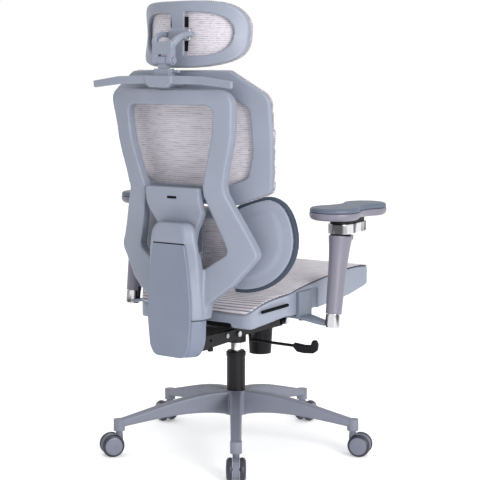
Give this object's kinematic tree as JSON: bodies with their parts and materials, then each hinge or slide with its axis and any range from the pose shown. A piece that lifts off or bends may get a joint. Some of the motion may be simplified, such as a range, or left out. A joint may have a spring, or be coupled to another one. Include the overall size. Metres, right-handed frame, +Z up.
{
  "type": "gaming chair",
  "caption": "High-back ergonomic gaming chair with mesh seat and back, hourglass rear frame, winged lumbar support, headrest, coat hanger, figure-eight arm pads and a star base on twin casters.",
  "frame": {"origin": "on the floor, on the axis of the gas column", "axes": "+Z up, the sitter faces -Y, the sitter's left is +X"},
  "size_m": [0.807, 0.704, 1.1849],
  "materials": {
    "base_plastic": "satin",
    "black_steel": "satin",
    "black_plastic": "matte",
    "steel": "satin",
    "chrome": "polished",
    "light_plastic": "satin",
    "cover_plastic": "satin",
    "mesh_fabric": "woven",
    "slate_rubber": "matte",
    "arm_steel": "satin",
    "taupe_plastic": "satin",
    "pad_foam": "soft matte",
    "caster_plastic": "satin",
    "wheel_tread": "matte"
  },
  "bodies": {
    "base": {"star_base": "base_plastic", "gas_tube": "black_steel", "column_bush": "black_plastic", "piston_rod": "steel"},
    "lift": {"gas_cylinder": "chrome"},
    "mechanism": {"mechanism_housing": "black_steel", "mechanism_bolts": "steel"},
    "tension_knob": {"tension_knob": "black_plastic"},
    "height_lever": {"height_lever": "black_plastic"},
    "lock_lever": {"lock_lever": "black_plastic"},
    "back": {"back_frame": "light_plastic", "spine_cover": "cover_plastic", "lower_spine_box": "cover_plastic", "link_bars": "black_steel"},
    "upper_back": {"upper_back_frame": "light_plastic", "upper_back_mesh": "mesh_fabric", "back_bracket": "light_plastic", "coat_hanger": "light_plastic", "headrest_socket": "light_plastic"},
    "lumbar": {"lumbar_shell": "light_plastic", "lumbar_edging": "slate_rubber", "lumbar_mesh": "mesh_fabric"},
    "headrest_post": {"headrest_post": "light_plastic"},
    "headrest_yoke": {"headrest_yoke": "light_plastic"},
    "headrest": {"headrest_frame": "light_plastic", "headrest_mesh": "mesh_fabric"},
    "seat_carrier": {"seat_carrier": "black_steel"},
    "seat": {"seat_tray": "light_plastic", "seat_mesh": "mesh_fabric", "left_arm_bracket": "arm_steel", "left_arm_post": "chrome", "right_arm_bracket": "arm_steel", "right_arm_post": "chrome"},
    "left_arm": {"left_arm_sleeve": "taupe_plastic", "left_arm_head": "chrome"},
    "left_trigger": {"left_arm_trigger": "taupe_plastic"},
    "left_carriage": {"left_pad_carriage": "black_plastic"},
    "left_pad": {"left_pad_shell": "taupe_plastic", "left_pad_top": "pad_foam"},
    "right_arm": {"right_arm_sleeve": "taupe_plastic", "right_arm_head": "chrome"},
    "right_trigger": {"right_arm_trigger": "taupe_plastic"},
    "right_carriage": {"right_pad_carriage": "black_plastic"},
    "right_pad": {"right_pad_shell": "taupe_plastic", "right_pad_top": "pad_foam"},
    "caster_1": {"caster_housing_1": "caster_plastic"},
    "wheel_1a": {"caster_wheel_1a": "wheel_tread"},
    "wheel_1b": {"caster_wheel_1b": "wheel_tread"},
    "caster_2": {"caster_housing_2": "caster_plastic"},
    "wheel_2a": {"caster_wheel_2a": "wheel_tread"},
    "wheel_2b": {"caster_wheel_2b": "wheel_tread"},
    "caster_3": {"caster_housing_3": "caster_plastic"},
    "wheel_3a": {"caster_wheel_3a": "wheel_tread"},
    "wheel_3b": {"caster_wheel_3b": "wheel_tread"},
    "caster_4": {"caster_housing_4": "caster_plastic"},
    "wheel_4a": {"caster_wheel_4a": "wheel_tread"},
    "wheel_4b": {"caster_wheel_4b": "wheel_tread"},
    "caster_5": {"caster_housing_5": "caster_plastic"},
    "wheel_5a": {"caster_wheel_5a": "wheel_tread"},
    "wheel_5b": {"caster_wheel_5b": "wheel_tread"}
  },
  "joints": [
    {"name": "column_lift", "type": "slide", "parent": "base", "child": "lift", "axis": [0, 0, 1], "range_m": [0, 0.1]},
    {"name": "seat_swivel", "type": "hinge", "parent": "lift", "child": "mechanism", "pos_m": [0, 0, 0.3], "axis": [0, 0, 1], "continuous": true},
    {"name": "recline", "type": "hinge", "parent": "mechanism", "child": "back", "pos_m": [0, 0.082, 0.327], "axis": [-1, 0, 0], "range_deg": [0, 25], "stiffness_Nm_per_rad": 90, "springref_deg": -20.05},
    {"name": "seat_tilt", "type": "hinge", "parent": "mechanism", "child": "seat_carrier", "pos_m": [0, -0.12, 0.336], "axis": [-1, 0, 0], "range_deg": [0, 3.1]},
    {"name": "seat_depth", "type": "slide", "parent": "seat_carrier", "child": "seat", "axis": [0, -1, 0], "range_m": [0, 0.05]},
    {"name": "tension_turn", "type": "hinge", "parent": "mechanism", "child": "tension_knob", "pos_m": [0, -0.114, 0.28], "axis": [0, 0, 1], "continuous": true},
    {"name": "height_lever_pull", "type": "hinge", "parent": "mechanism", "child": "height_lever", "pos_m": [-0.034, -0.024, 0.308], "axis": [0, 1, 0], "range_deg": [0, 6], "stiffness_Nm_per_rad": 1.5, "springref_deg": -8.59},
    {"name": "lock_lever_turn", "type": "hinge", "parent": "mechanism", "child": "lock_lever", "pos_m": [0.034, -0.024, 0.308], "axis": [0, -1, 0], "range_deg": [0, 6]},
    {"name": "back_height", "type": "slide", "parent": "back", "child": "upper_back", "axis": [0, 0, 1], "range_m": [0, 0.05]},
    {"name": "lumbar_rock", "type": "hinge", "parent": "back", "child": "lumbar", "pos_m": [0, 0.208, 0.541], "axis": [1, 0, 0], "range_deg": [-3, 3], "stiffness_Nm_per_rad": 80},
    {"name": "headrest_height", "type": "slide", "parent": "upper_back", "child": "headrest_post", "axis": [0, 0, 1], "range_m": [0, 0.03]},
    {"name": "headrest_reach", "type": "hinge", "parent": "headrest_post", "child": "headrest_yoke", "pos_m": [0, 0.303, 1.038], "axis": [1, 0, 0], "range_deg": [-12, 5]},
    {"name": "headrest_tilt", "type": "hinge", "parent": "headrest_yoke", "child": "headrest", "pos_m": [0, 0.243, 1.102], "axis": [1, 0, 0], "range_deg": [-12, 12]},
    {"name": "left_arm_height", "type": "slide", "parent": "seat", "child": "left_arm", "axis": [0, -0.1513, 0.9885], "range_m": [0, 0.07]},
    {"name": "left_trigger_press", "type": "slide", "parent": "left_arm", "child": "left_trigger", "axis": [0, 0, 1], "range_m": [0, 0.003], "stiffness_N_per_m": 400, "springref_m": -0.002},
    {"name": "left_pad_swivel", "type": "hinge", "parent": "left_arm", "child": "left_carriage", "pos_m": [0.33, 0.003, 0.624], "axis": [0, 0, 1], "range_deg": [0, 60]},
    {"name": "left_pad_slide", "type": "slide", "parent": "left_carriage", "child": "left_pad", "axis": [-0.5, -0.866, 0], "range_m": [-0.07, 0]},
    {"name": "right_arm_height", "type": "slide", "parent": "seat", "child": "right_arm", "axis": [0, -0.1513, 0.9885], "range_m": [0, 0.07]},
    {"name": "right_trigger_press", "type": "slide", "parent": "right_arm", "child": "right_trigger", "axis": [0, 0, 1], "range_m": [0, 0.003], "stiffness_N_per_m": 400, "springref_m": -0.002},
    {"name": "right_pad_swivel", "type": "hinge", "parent": "right_arm", "child": "right_carriage", "pos_m": [-0.33, 0.003, 0.624], "axis": [0, 0, 1], "range_deg": [-30, 30]},
    {"name": "right_pad_slide", "type": "slide", "parent": "right_carriage", "child": "right_pad", "axis": [0, -1, 0], "range_m": [0, 0.07]},
    {"name": "caster_1_swivel", "type": "hinge", "parent": "base", "child": "caster_1", "pos_m": [0, -0.325, 0.06], "axis": [0, 0, 1], "continuous": true},
    {"name": "wheel_1a_spin", "type": "hinge", "parent": "caster_1", "child": "wheel_1a", "pos_m": [0, -0.345, 0.03], "axis": [1, 0, 0], "continuous": true},
    {"name": "wheel_1b_spin", "type": "hinge", "parent": "caster_1", "child": "wheel_1b", "pos_m": [0, -0.345, 0.03], "axis": [1, 0, 0], "continuous": true},
    {"name": "caster_2_swivel", "type": "hinge", "parent": "base", "child": "caster_2", "pos_m": [0.30909, -0.10043, 0.06], "axis": [0, 0, 1], "continuous": true},
    {"name": "wheel_2a_spin", "type": "hinge", "parent": "caster_2", "child": "wheel_2a", "pos_m": [0.32811, -0.10661, 0.03], "axis": [0.309, 0.9511, 0], "continuous": true},
    {"name": "wheel_2b_spin", "type": "hinge", "parent": "caster_2", "child": "wheel_2b", "pos_m": [0.32811, -0.10661, 0.03], "axis": [0.309, 0.9511, 0], "continuous": true},
    {"name": "caster_3_swivel", "type": "hinge", "parent": "base", "child": "caster_3", "pos_m": [0.19103, 0.26293, 0.06], "axis": [0, 0, 1], "continuous": true},
    {"name": "wheel_3a_spin", "type": "hinge", "parent": "caster_3", "child": "wheel_3a", "pos_m": [0.20279, 0.27911, 0.03], "axis": [-0.809, 0.5878, 0], "continuous": true},
    {"name": "wheel_3b_spin", "type": "hinge", "parent": "caster_3", "child": "wheel_3b", "pos_m": [0.20279, 0.27911, 0.03], "axis": [-0.809, 0.5878, 0], "continuous": true},
    {"name": "caster_4_swivel", "type": "hinge", "parent": "base", "child": "caster_4", "pos_m": [-0.19103, 0.26293, 0.06], "axis": [0, 0, 1], "continuous": true},
    {"name": "wheel_4a_spin", "type": "hinge", "parent": "caster_4", "child": "wheel_4a", "pos_m": [-0.20279, 0.27911, 0.03], "axis": [-0.809, -0.5878, 0], "continuous": true},
    {"name": "wheel_4b_spin", "type": "hinge", "parent": "caster_4", "child": "wheel_4b", "pos_m": [-0.20279, 0.27911, 0.03], "axis": [-0.809, -0.5878, 0], "continuous": true},
    {"name": "caster_5_swivel", "type": "hinge", "parent": "base", "child": "caster_5", "pos_m": [-0.30909, -0.10043, 0.06], "axis": [0, 0, 1], "continuous": true},
    {"name": "wheel_5a_spin", "type": "hinge", "parent": "caster_5", "child": "wheel_5a", "pos_m": [-0.32811, -0.10661, 0.03], "axis": [0.309, -0.9511, 0], "continuous": true},
    {"name": "wheel_5b_spin", "type": "hinge", "parent": "caster_5", "child": "wheel_5b", "pos_m": [-0.32811, -0.10661, 0.03], "axis": [0.309, -0.9511, 0], "continuous": true}
  ],
  "couplings": [
    {"joint": "seat_tilt", "follows": "recline", "ratio": 0.12}
  ]
}
